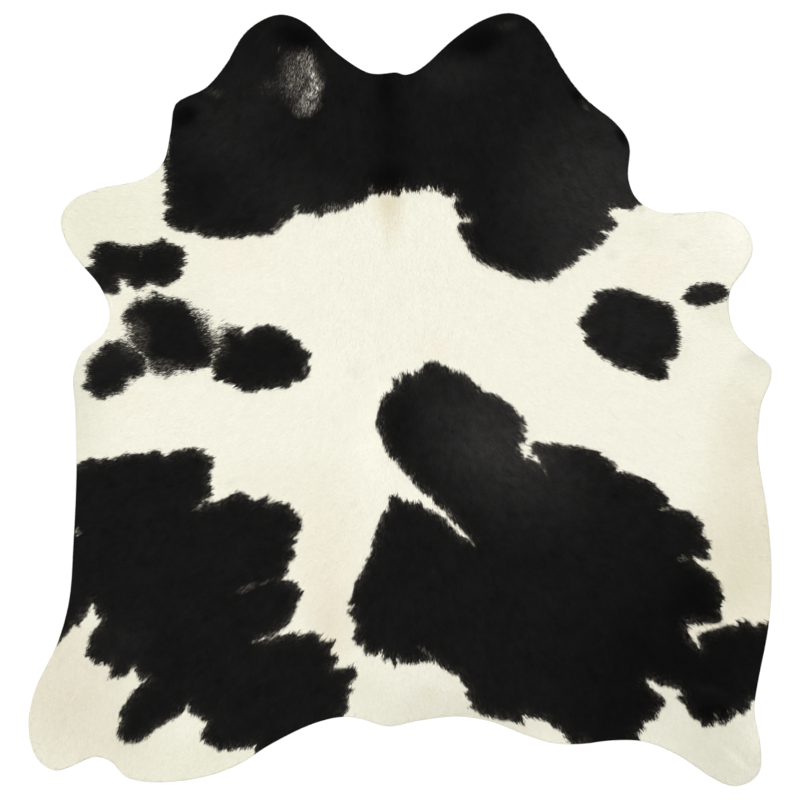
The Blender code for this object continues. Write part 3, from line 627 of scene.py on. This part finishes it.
def rim_edges(mesh):
    """Plan places of both ends of the mesh's edges that lie far enough out to be its rim."""
    corners = np.empty(len(mesh.vertices) * 3)
    mesh.vertices.foreach_get("co", corners)
    corners = corners.reshape(-1, 3)[:, :2]
    edges = np.empty(len(mesh.edges) * 2, int)
    mesh.edges.foreach_get("vertices", edges)
    start, end = corners[edges.reshape(-1, 2)].transpose(1, 0, 2)
    angle = np.arctan2(start[:, 1], start[:, 0])
    outer = np.hypot(*start.T) > RIM_FROM * np.interp(angle, *widest_by_angle(corners))
    return start[outer], end[outer]


def outline_reach(mesh, count):
    """How far the solid reaches from the origin at evenly spaced angles, once round.

    A ray from the origin crosses an edge where its direction lies between the
    edge's ends, and the furthest crossing is the rim.
    """
    start, end = rim_edges(mesh)
    angles = np.linspace(-np.pi, np.pi, count + 1)
    reach = np.zeros(count + 1)
    for first in range(0, count + 1, RAYS_AT_ONCE):
        part = angles[first:first + RAYS_AT_ONCE]
        ray = np.column_stack((np.cos(part), np.sin(part)))
        side_start = np.outer(ray[:, 0], start[:, 1]) - np.outer(ray[:, 1], start[:, 0])
        side_end = np.outer(ray[:, 0], end[:, 1]) - np.outer(ray[:, 1], end[:, 0])
        crosses = (side_start * side_end <= 0) & (np.abs(side_start - side_end) > 1e-12)
        share = np.where(crosses, side_start / np.where(crosses, side_start - side_end, 1.0), 0.0)
        out_start = ray @ start.T
        out_end = ray @ end.T
        distance = np.where(crosses, out_start + share * (out_end - out_start), 0.0)
        reach[first:first + RAYS_AT_ONCE] = distance.max(axis=1)
    return angles, reach


def smoothed(reach, steps):
    """Closed row of distances, each the weighed mean of its neighbours up to some steps away."""
    ring = reach[:-1]
    weights = np.hanning(2 * steps + 3)[1:-1]
    total = sum(w * np.roll(ring, k) for w, k in zip(weights, range(-steps, steps + 1)))
    ring = total / weights.sum()
    return np.append(ring, ring[0])


class Hide:
    """The hide's outline and the height of its flesh side over the floor."""

    def __init__(self, mesh):
        self.angles, reach = outline_reach(mesh, RIM_ANGLES)
        self.reach = smoothed(reach, RIM_EASING)

    def rim(self, angle):
        """Distance from the origin to the cut edge in a direction."""
        return np.interp(np.mod(angle + np.pi, 2 * np.pi) - np.pi, self.angles, self.reach)

    def rim_past(self, points):
        """Distance from the origin to the cut edge in each point's direction."""
        return self.rim(np.arctan2(points[:, 1], points[:, 0]))

    def room(self, points):
        """How far each point lies inside the cut edge, measured away from the origin."""
        return self.rim_past(points) - np.hypot(*points.T)

    def way_out(self, points):
        """Share of the way from the origin to the cut edge."""
        return np.hypot(*points.T) / self.rim_past(points)

    def height(self, points):
        """The highest of the waves there, plus shallow cockles, faded out inwards."""
        height = np.zeros(len(points))
        for _, x, y, runs, length, width, lift in WAVES:
            along, across = along_and_across(points, x, y, runs)
            height = np.maximum(height, lift * hump(along / length) * hump(across / width))
        turns = 2 * np.pi * points / COCKLE_SPACING
        bumps = 2.0 + np.sin(turns[:, 0]) * np.sin(turns[:, 1] + 1.0)
        loose = np.clip((self.way_out(points) - LYING_FLAT) / (1.0 - LYING_FLAT), 0.0, 1.0)
        return (height + COCKLE_HEIGHT * bumps / 3.0) * (1.0 - (1.0 - loose) ** 2)


# ------------------------------------------------------------ colour of hair
def depth_in_patch(points, marks):
    """Distance to a closed line of marks, plus inside it and minus outside.

    The distance is the least over its stretches, and a point is inside if a
    line from it towards +X crosses the stretches an odd number of times.
    """
    nearest = np.full(len(points), np.inf)
    inside = np.zeros(len(points), bool)
    for start, end in zip(marks, np.roll(marks, -1, axis=0)):
        run = end - start
        offset = points - start
        share = np.clip(offset @ run / (run @ run), 0.0, 1.0)
        nearest = np.minimum(nearest, ((offset - share[:, None] * run) ** 2).sum(axis=1))
        crosses = (start[1] > points[:, 1]) != (end[1] > points[:, 1])
        if run[1] != 0.0:
            inside ^= crosses & (offset[:, 0] < offset[:, 1] * run[0] / run[1])
    return np.where(inside, 1.0, -1.0) * np.sqrt(nearest)


def depth_in_black(points):
    """How deep a point lies in the nearest black patch; minus outside, no less than the margin."""
    depth = np.full(len(points), -PATCH_MARGIN)
    for marks in PATCHES.values():
        marks = CM * np.array(marks, float)
        low, high = marks.min(axis=0) - PATCH_MARGIN, marks.max(axis=0) + PATCH_MARGIN
        near = ((points > low) & (points < high)).all(axis=1)
        depth[near] = np.maximum(depth[near], depth_in_patch(points[near], marks))
    return depth


def roan_share(points):
    """Share of pale hair among the black: the most that any roan place gives."""
    return most_of(points, ROAN, 0.0, ROAN_FALL)


def border_blur(points):
    """Width over which black gives way to pale: the widest that any soft place gives."""
    return most_of(points, SOFT, BORDER_BLUR, SOFT_FALL)


def pale_colour(points):
    """Cream, over which each spot lays its tint: mostly the hair's own colour, in a few spots
    painted shade.
    """
    colour = np.tile(seen(TINTS["cream"]), (len(points), 1))
    for tint, x, y, length, width, turn, share in SPOTS:
        cover = share * oval(points, x, y, length, width, turn)[:, None]
        colour = colour * (1.0 - cover) + seen(TINTS[tint]) * cover
    return colour


def black_colour(points):
    """Black, over which each place lays its own level: the hair's tone with painted sheen and
    painted shade, less what the surface throws back.
    """
    level = np.full(len(points), BLACK)
    for _, x, y, length, width, turn, target, share in PAINTED_SHEEN_SHADE_AND_TONE:
        cover = share * oval(points, x, y, length, width, turn)
        level = level * (1.0 - cover) + target * cover
    return np.maximum(seen(level) - SHINE, BLACK_LEAST)[:, None] * np.array(BLACK_HUE)


# ------------------------------------------------------------------- meshes
def mesh_piece(name, corners, faces, materials, material_of=None):
    """An object at the origin from rows of corners and of faces with equally many corners."""
    mesh = bpy.data.meshes.new(name)
    sides = faces.shape[1]
    mesh.vertices.add(len(corners))
    mesh.loops.add(faces.size)
    mesh.polygons.add(len(faces))
    mesh.vertices.foreach_set("co", corners.astype(np.float32).ravel())
    mesh.loops.foreach_set("vertex_index", faces.astype(np.int32).ravel())
    mesh.polygons.foreach_set("loop_start", np.arange(0, faces.size, sides, dtype=np.int32))
    for material in materials:
        mesh.materials.append(material)
    if material_of is not None:
        mesh.polygons.foreach_set("material_index", material_of.astype(np.int32))
    mesh.update(calc_edges=True)
    mesh.shade_smooth()
    piece = bpy.data.objects.new(name, mesh)
    bpy.context.collection.objects.link(piece)
    return piece


def give_values(piece, name, kind, field, values):
    """Values of a kind, one for each corner of the mesh, for its materials to read."""
    layer = piece.data.attributes.new(name, kind, "POINT")
    layer.data.foreach_set(field, values.astype(np.float32).ravel())


def give_colours(piece, name, colours):
    """One colour for each corner of the mesh."""
    rows = np.column_stack((colours, np.ones(len(colours))))
    give_values(piece, name, "FLOAT_COLOR", "color", rows)


def give_map(piece, places):
    """A UV map from one place in the unit square for each corner of the mesh's faces."""
    layer = piece.data.uv_layers.new(name="OFBake")
    layer.uv.foreach_set("vector", places.astype(np.float32).ravel())


def fitted(points, low, high):
    """Points moved and scaled so that the box from low to high fills the unit square."""
    return (points - low) / (high - low)


def ring_grid(hide, rows):
    """Corners of rings round the origin: each row is (share of the way out, inset, height)."""
    angles = np.linspace(-np.pi, np.pi, SKIN_COLUMNS, endpoint=False)
    rim = hide.rim(angles)
    corners = []
    for share, inset, height in rows:
        reach = share * rim - inset
        plan = np.column_stack((reach * np.cos(angles), reach * np.sin(angles)))
        corners.append(np.column_stack((plan, hide.height(plan) + height)))
    return np.concatenate(corners)


def ring_faces(rows):
    """Two triangles between each pair of neighbours on each pair of rings, facing out."""
    row = np.arange(rows - 1)[:, None] * SKIN_COLUMNS
    here = np.arange(SKIN_COLUMNS)[None, :]
    after = (here + 1) % SKIN_COLUMNS
    a, b = row + here, row + after
    c, d = row + SKIN_COLUMNS + after, row + SKIN_COLUMNS + here
    return np.concatenate([np.stack(t, axis=-1).reshape(-1, 3) for t in ((a, b, c), (a, c, d))])


def ring_shares(count):
    """Shares of the way out for some rings between the middle and the cut edge, inner first."""
    return np.linspace(0.0, 1.0, count + 2)[1:-1] ** RING_POWER


def make_skin(hide, leather, hair_side):
    """The tanned skin: flesh side, cut edge and hair side, one closed thin sheet.

    Its rings run from the middle of the flesh side out to the cut edge, round
    it, and back in on the hair side to the middle, where both end in a point.
    In the UV map the hair side fills the left half and the flesh side the right.
    """
    over = LEATHER + UNDERCOAT
    rows = [(share, 0.0, 0.0) for share in ring_shares(FLESH_RINGS)]
    rows += [(1.0, inset, height) for inset, height in CUT_EDGE]
    hair_from = (len(rows) - HAIRY_EDGE_RINGS) * SKIN_COLUMNS
    rows += [(share, 0.0, over) for share in reversed(ring_shares(HAIR_RINGS))]
    corners = ring_grid(hide, rows)
    middle_under, middle_over = len(corners), len(corners) + 1
    corners = np.vstack((corners, (0.0, 0.0, 0.0), (0.0, 0.0, over)))
    first = np.arange(SKIN_COLUMNS)
    last = first + (len(rows) - 1) * SKIN_COLUMNS
    flesh_fan = np.column_stack((np.roll(first, -1), first, np.full(SKIN_COLUMNS, middle_under)))
    hair_fan = np.column_stack((last, np.roll(last, -1), np.full(SKIN_COLUMNS, middle_over)))
    faces = np.vstack((ring_faces(len(rows)), flesh_fan, hair_fan))
    on_hair_side = (faces >= hair_from).all(axis=1) & (faces != middle_under).all(axis=1)
    skin = mesh_piece("skin", corners, faces, (leather, hair_side), on_hair_side)
    plan = corners[:, :2]
    depth = depth_in_black(plan)[:, None]
    give_colours(skin, "hair_colour", np.where(depth > 0, black_colour(plan), pale_colour(plan)))
    in_map = fitted(plan[faces.ravel()], plan.min(axis=0), plan.max(axis=0))
    in_map[:, 0] = 0.5 * in_map[:, 0] + np.where(np.repeat(on_hair_side, 3), 0.0, 0.5)
    give_map(skin, in_map)
    return skin


def growth(points):
    """Unit vectors along the hair: the places' directions, weighed by nearness."""
    total = np.zeros((len(points), 2))
    for _, x, y, heading in GROWTH:
        near = np.exp(-((points[:, 0] - x) ** 2 + (points[:, 1] - y) ** 2) / GROWTH_REACH**2)
        angle = np.radians(heading)
        total += near[:, None] * np.array((np.cos(angle), np.sin(angle)))
    return total / np.linalg.norm(total, axis=1)[:, None]


def turned(vectors, angle):
    """Plan vectors turned by an angle each."""
    c, s = np.cos(angle), np.sin(angle)
    x, y = vectors.T
    return np.column_stack((c * x - s * y, s * x + c * y))


def lattice(hide, spacing, rng):
    """Places over the hide: a square lattice with each place moved at random."""
    half = hide.reach.max() + spacing
    line = np.arange(-half, half, spacing)
    places = np.stack(np.meshgrid(line, line, indexing="ij"), axis=-1).reshape(-1, 2)
    places = places + rng.uniform(-0.5, 0.5, places.shape) * spacing
    return places[hide.room(places) > ROOT_INSET]


def lock_roots(hide, rng):
    """Where locks grow and how wide each is: many fine ones where two colours meet.

    Both lattices cover the hide, and each keeps its own share of the places.
    """
    roots, widths = [], []
    for spacing, for_fringe, overlap in LATTICES:
        places = lattice(hide, spacing, rng)
        fringe = np.abs(depth_in_black(places)) < FRINGE
        fringe |= (roan_share(places) > 0.0) | (border_blur(places) > SOFT_FROM * BORDER_BLUR)
        places = places[fringe == for_fringe]
        roots.append(places)
        widths.append(overlap * spacing * rng.uniform(*WIDTH_SHARES, len(places)))
    return np.concatenate(roots), np.concatenate(widths)


def nearest_tuft(points, along):
    """Number and middle of the tuft that each point belongs to.

    Tufts have their middles on a lattice moved at random.  The nearest middle
    is the one whose distance is least with the part along the hair divided by
    the stretch.
    """
    shift = np.random.default_rng(TUFT_SEED).uniform(0.0, 1.0, (CELLS, CELLS, 2))
    cell = np.floor(points / TUFT_SPACING).astype(int)
    best = np.full(len(points), np.inf)
    middle = np.zeros_like(points)
    number = np.zeros(len(points), int)
    for di in (-1, 0, 1):
        for dj in (-1, 0, 1):
            i, j = cell[:, 0] + di, cell[:, 1] + dj
            place = (np.column_stack((i, j)) + shift[i % CELLS, j % CELLS]) * TUFT_SPACING
            offset = points - place
            down = (offset * along).sum(axis=1)
            distance = (offset**2).sum(axis=1) - (1.0 - 1.0 / TUFT_STRETCH**2) * down**2
            closer = distance < best
            best[closer] = distance[closer]
            middle[closer] = place[closer]
            number[closer] = (i[closer] % CELLS) * CELLS + j[closer] % CELLS
    return number, middle


def lay_locks(hide, rng):
    """Plan places of each lock's root, left, right and tip, and the number of its tuft.

    A lock lies along the growth, turned a little by its tuft and by chance, and
    its tip leans towards the middle line of its tuft.  What is past the cut edge
    is drawn back to it.
    """
    roots, width = lock_roots(hide, rng)
    count = len(roots)
    along = growth(roots)
    tuft, middle = nearest_tuft(roots, along)
    tuft_turn = np.random.default_rng(TUFT_TURN_SEED).normal(0.0, 1.0, CELLS * CELLS)
    turn = np.radians(TUFT_TURN) * tuft_turn[tuft] + np.radians(LOCK_TURN) * rng.normal(size=count)
    along = turned(along, turn)
    across = np.column_stack((-along[:, 1], along[:, 0]))
    length = HAIR_LENGTH * rng.uniform(*LENGTH_SHARES, count)
    lean = ((middle - roots) * across).sum(axis=1)[:, None] * across * TUFT_LEAN
    tips = roots + length[:, None] * along + lean
    shoulder = roots + SHOULDER_AT * (tips - roots)
    side = 0.5 * width[:, None] * across
    places = np.stack((roots, shoulder + side, shoulder - side, tips), axis=1).reshape(-1, 2)
    reach = np.hypot(*places.T)
    furthest = hide.rim_past(places) - rng.uniform(*END_INSETS, len(places))
    return (places * (np.minimum(reach, furthest) / reach)[:, None]).reshape(-1, 4, 2), tuft


def lock_colours(places, tuft, rng):
    """Colours of each lock's black and pale hairs, and the share that is pale.

    All three follow the hide's pattern a little short of the lock's tip.

    Black gives way to pale over a blur about the patch's border, moved in and
    out by the lock's tuft, by smooth noise and by chance.  Just inside the
    border, and in the roan places, pale hair is mixed into the black, more in
    some locks than in others.  A pale hair is browner the fewer there are.
    """
    by_tuft = np.random.default_rng(TUFT_COLOUR_SEED).normal(0.0, 1.0, (2, CELLS * CELLS))
    tuft_tone, tuft_stray = by_tuft[:, tuft]
    judged = places[:, 0] + JUDGED_AT * (places[:, 3] - places[:, 0])
    count = len(judged)
    ragged = layered(judged, BORDER_NOISE, TUFT_STRAY * tuft_stray)
    blur = border_blur(judged)
    softer = blur - BORDER_BLUR
    stray = (LOCK_STRAY + SOFT_STRAY * softer) * rng.normal(size=count)
    depth = depth_in_black(judged) + ragged + stray
    pale = np.clip(0.5 - depth / (BORDER_BLUR + SOFT_BLUR * softer), 0.0, 1.0) ** BLUR_POWER
    edge = EDGE_GREY * np.sqrt(blur / BORDER_BLUR) * np.exp(-np.maximum(depth, 0.0) / EDGE_REACH)
    clumps = layered(judged, CLUMPS, 1.0)
    uneven = ROAN_MOST * rng.uniform(size=count) ** ROAN_POWER * clumps
    roan = np.clip(np.maximum(roan_share(judged), edge) * uneven, 0.0, 1.0)
    mottled = layered(judged, MOTTLES, 0.0)
    mottled += BLACK_BY_TUFT * tuft_tone + BLACK_BY_LOCK * rng.normal(size=count)
    black = black_colour(judged) * (1.0 + mottled)[:, None]
    tone = 1.0 + PALE_BY_TUFT * tuft_tone + PALE_BY_LOCK * rng.normal(size=count)
    share = np.maximum(pale, roan)
    cream = pale_colour(judged) * tone[:, None]
    cream = cream * (1.0 + (1.0 - share)[:, None] * np.array(BROWNING))
    return np.maximum(black, DARKEST), np.minimum(cream, LIGHTEST), share


def lock_corners(hide, places, rng):
    """Corners of the locks, each sloping up from the undercoat to its tip like a shingle.

    So the tips make the surface.  At the cut edge the coat comes down in a
    quarter round over the skin.
    """
    count = len(places)
    root = np.full(count, UNDERCOAT - ROOT_SUNK)
    tip = COAT_HEIGHT * rng.uniform(*TIP_SHARES, count)
    shoulder = root + SHOULDER_RISE * (tip - root)
    roll = ROLL * rng.normal(size=count)
    rise = np.stack((root, shoulder + roll, shoulder - roll, tip), axis=1)
    plan = places.reshape(-1, 2)
    come_down = np.clip(1.0 - (hide.room(plan) - EDGE_BARE) / EDGE_ROUND, 0.0, 1.0)
    heights = hide.height(plan) + (LEATHER + rise.ravel()) * np.sqrt(1.0 - come_down**2)
    return np.concatenate((places, heights.reshape(-1, 4, 1)), axis=2)


def lock_strands(places, rng):
    """What a lock's hairs are drawn by, at each of its corners.

    First come the strands counted across the lock, then strand lengths along
    it, then the lock's own number.
    """
    half_width = 0.5 * np.linalg.norm(places[:, 1] - places[:, 2], axis=1) / STRAND
    length = np.linalg.norm(places[:, 3] - places[:, 0], axis=1) / STRAND_LENGTH
    number = rng.uniform(0.0, STRAND_NUMBERS, len(places))
    return np.stack((
        np.stack((0.0 * half_width, half_width, -half_width, 0.0 * half_width), axis=1),
        np.stack((0.0 * length, SHOULDER_AT * length, SHOULDER_AT * length, length), axis=1),
        np.repeat(number[:, None], 4, axis=1),
    ), axis=2)


def make_coat(hide, material, bands):
    """The hair: flat locks, each a kite from its root over two shoulders to its tip.

    The bands share out the locks evenly, from the hind legs to the neck.  In
    the UV map a lock shrinks about the place it takes its colour from, so that
    its neighbours stay clear of it.
    """
    rng = np.random.default_rng(LOCK_SEED)
    places, tuft = lay_locks(hide, rng)
    black, cream, pale_share = lock_colours(places, tuft, rng)
    corners = lock_corners(hide, places, rng)
    strands = lock_strands(places, rng)
    judged = places[:, :1] + JUDGED_AT * (places[:, 3:] - places[:, :1])
    in_map = judged + MAP_SHARE * (places - judged)

    pieces = []
    for name, members in zip(bands, np.array_split(np.argsort(places[:, 0, 1]), len(bands))):
        first = 4 * np.arange(len(members))[:, None]
        faces = np.concatenate((first + (0, 2, 1), first + (1, 2, 3)), axis=1).reshape(-1, 3)
        piece = mesh_piece(name, corners[members].reshape(-1, 3), faces, (material,))
        give_colours(piece, "black_hair", np.repeat(black[members], 4, axis=0))
        give_colours(piece, "pale_hair", np.repeat(cream[members], 4, axis=0))
        give_values(piece, "pale_share", "FLOAT", "value", np.repeat(pale_share[members], 4))
        give_values(piece, "strand", "FLOAT_VECTOR", "vector", strands[members])
        rows = in_map[members].reshape(-1, 2)
        give_map(piece, fitted(rows[faces.ravel()], rows.min(axis=0), rows.max(axis=0)))
        pieces.append(piece)
    return pieces


# ---------------------------------------------------------------- materials
def new_material(name):
    """An empty material with its node tree and shader."""
    material = bpy.data.materials.new(name)
    material.use_nodes = True
    tree = material.node_tree
    return material, tree, tree.nodes["Principled BSDF"]


def set_inputs(tree, node, inputs):
    """Set a node's inputs: a number or a colour as it is, another node's output by a link."""
    for name, value in inputs.items():
        if isinstance(value, bpy.types.NodeSocket):
            tree.links.new(value, node.inputs[name])
        else:
            node.inputs[name].default_value = value


def add_node(tree, kind, inputs, output, operation=None):
    """The output of a new node with its inputs set."""
    node = tree.nodes.new(kind)
    if operation:
        node.operation = operation
    set_inputs(tree, node, inputs)
    return node.outputs[output]


def read_attribute(tree, name, output):
    """One of the mesh's own attributes."""
    node = tree.nodes.new("ShaderNodeAttribute")
    node.attribute_name = name
    return node.outputs[output]


def on_piece(tree):
    """The place on the piece itself, in metres."""
    return add_node(tree, "ShaderNodeTexCoord", {}, "Object")


def noise_over(tree, place, scale, detail):
    """Noise over a place or an attribute; it mostly lies from 0.3 to 0.7."""
    inputs = {"Vector": place, "Scale": scale, "Detail": detail}
    return add_node(tree, "ShaderNodeTexNoise", inputs, "Fac")


def scaled(tree, noise, low, high):
    """Noise stretched to run from low to high."""
    inputs = {"Value": noise, "From Min": 0.3, "From Max": 0.7, "To Min": low, "To Max": high}
    return add_node(tree, "ShaderNodeMapRange", inputs, "Result")


def bump(tree, height, depth):
    """Bump of a real depth in metres, where the height runs from 0 to 1."""
    inputs = {"Strength": 0.5, "Distance": depth, "Height": height}
    return add_node(tree, "ShaderNodeBump", inputs, "Normal")


def worked_out(tree, operation, first, second):
    """A value worked out from two others."""
    return add_node(tree, "ShaderNodeMath", {0: first, 1: second}, "Value", operation)


def shade_hair(tree, shader, colour, noise, roughness, specular):
    """The colour a little lighter and darker with the noise, and roughness and bump from it."""
    shade = {0: colour, "Scale": scaled(tree, noise, *HAIR_SHADES)}
    lower, upper = roughness - ROUGHNESS_SWING, roughness + ROUGHNESS_SWING
    set_inputs(tree, shader, {
        "Base Color": add_node(tree, "ShaderNodeVectorMath", shade, "Vector", "SCALE"),
        "Roughness": scaled(tree, noise, lower, upper),
        "Normal": bump(tree, noise, HAIR_RELIEF),
        "Specular IOR Level": specular,
    })


def hair_material():
    """Hair of two colours, mixed by the lock's pale share and by each strand's own chance.

    The whole part of the strand attribute numbers the strands, and a chance goes
    with each number.  With share s and chance c, a strand's part of pale is
    s + 2 s (1 - s) (c - 1/2).  Noise drawn out along the strands shades them.
    """
    material, tree, shader = new_material("hair")
    strand = read_attribute(tree, "strand", "Vector")
    share = read_attribute(tree, "pale_share", "Fac")
    number = add_node(tree, "ShaderNodeVectorMath", {0: strand}, "Vector", "FLOOR")
    chance = add_node(tree, "ShaderNodeTexWhiteNoise", {"Vector": number}, "Value")
    swing = worked_out(tree, "SUBTRACT", chance, 0.5)
    twice = worked_out(tree, "ADD", share, share)
    most = worked_out(tree, "MULTIPLY", share, worked_out(tree, "SUBTRACT", 2.0, twice))
    pale_part = worked_out(tree, "ADD", share, worked_out(tree, "MULTIPLY", most, swing))
    colour = tree.nodes.new("ShaderNodeMix")
    colour.data_type = "RGBA"
    factor, black, pale = 0, 6, 7       # by number, since this node's inputs share names
    set_inputs(tree, colour, {
        factor: pale_part,
        black: read_attribute(tree, "black_hair", "Color"),
        pale: read_attribute(tree, "pale_hair", "Color"),
    })
    noise = noise_over(tree, strand, scale=0.5, detail=2.0)
    shade_hair(tree, shader, colour.outputs[2], noise, roughness=0.60, specular=0.03)
    return material


def undercoat_material():
    """Short dense hair in the mesh's own colours, with fine even noise."""
    material, tree, shader = new_material("undercoat")
    noise = noise_over(tree, on_piece(tree), scale=0.5 / STRAND, detail=2.0)
    colour = read_attribute(tree, "hair_colour", "Color")
    shade_hair(tree, shader, colour, noise, roughness=0.80, specular=0.05)
    return material


def leather_material():
    """Tan suede: clouded colour from broad noise, napped by fine noise."""
    material, tree, shader = new_material("suede")
    place = on_piece(tree)
    clouds = noise_over(tree, place, scale=9.0, detail=6.0)
    nap = noise_over(tree, place, scale=900.0, detail=4.0)
    ramp = tree.nodes.new("ShaderNodeValToRGB")
    dark, light = ramp.color_ramp.elements
    dark.position = 0.30
    dark.color = (0.42, 0.31, 0.20, 1.0)
    light.position = 0.70
    light.color = (0.58, 0.46, 0.32, 1.0)
    tree.links.new(clouds, ramp.inputs["Fac"])
    set_inputs(tree, shader, {
        "Base Color": ramp.outputs["Color"],
        "Roughness": scaled(tree, nap, 0.88, 1.0),
        "Normal": bump(tree, nap, NAP_RELIEF),
        "Specular IOR Level": 0.15,
    })
    return material


def floor_material():
    """Plain white."""
    material, tree, shader = new_material("floor")
    set_inputs(tree, shader, {
        "Base Color": (0.95, 0.95, 0.95, 1.0),
        "Roughness": 1.0,
        "Specular IOR Level": 0.0,
    })
    return material


# -------------------------------------------------------------------- stage
def add_floor():
    """A wide white floor just under the hide."""
    bpy.ops.mesh.primitive_plane_add(size=40.0, location=(0.0, 0.0, -FLOOR_BELOW))
    floor = bpy.context.object
    floor.name = "floor"
    floor.data.materials.append(floor_material())


def add_light():
    """An even white sky, and a broad lamp overhead, a little to the left."""
    world = bpy.data.worlds.new("studio")
    bpy.context.scene.world = world
    world.use_nodes = True
    sky = world.node_tree.nodes["Background"]
    set_inputs(world.node_tree, sky, {"Color": (1.0, 1.0, 1.0, 1.0), "Strength": 1.045})
    lamp = bpy.data.lights.new("key", "AREA")
    lamp.shape = "DISK"
    lamp.size = 5.0
    lamp.energy = 121.0
    key = bpy.data.objects.new("key", lamp)
    key.location = (-1.2, 1.2, 7.0)
    key.rotation_euler = (np.radians(14.0), 0.0, np.radians(225.0))
    bpy.context.collection.objects.link(key)
    bpy.context.scene.view_settings.view_transform = "Standard"


def add_camera():
    """Straight down from above, with a long lens, as the rug was photographed.

    In the 800 by 800 picture the hide takes 775 pixels of the height, and its
    box's middle is half a pixel above the picture's.
    """
    hide_length = 2.150
    hair_top = 0.006
    picture_side, hide_pixels, pixels_up = 800.0, 775.0, 0.5
    pixel = hide_length / hide_pixels
    data = bpy.data.cameras.new("camera")
    data.lens = 100.0
    data.sensor_width = 36.0
    distance = picture_side * pixel * data.lens / data.sensor_width
    camera = bpy.data.objects.new("camera", data)
    camera.location = (0.0, -pixels_up * pixel, distance + hair_top)
    camera.rotation_euler = (0.0, 0.0, 0.0)
    bpy.context.collection.objects.link(camera)
    bpy.context.scene.camera = camera


# --------------------------------------------------------------------- make
for old in list(bpy.data.objects):
    bpy.data.objects.remove(old, do_unlink=True)
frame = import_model()

add_camera()
add_light()
add_floor()

hide = Hide(frame["nodes"]["hide"].data)
skin = make_skin(hide, leather_material(), undercoat_material())
coat = make_coat(
    hide,
    hair_material(),
    ("coat_rump", "coat_thighs", "coat_loin", "coat_shoulders", "coat_neck"),
)
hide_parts("hide")
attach(skin, "root")
for piece in coat:
    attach(piece, "root")
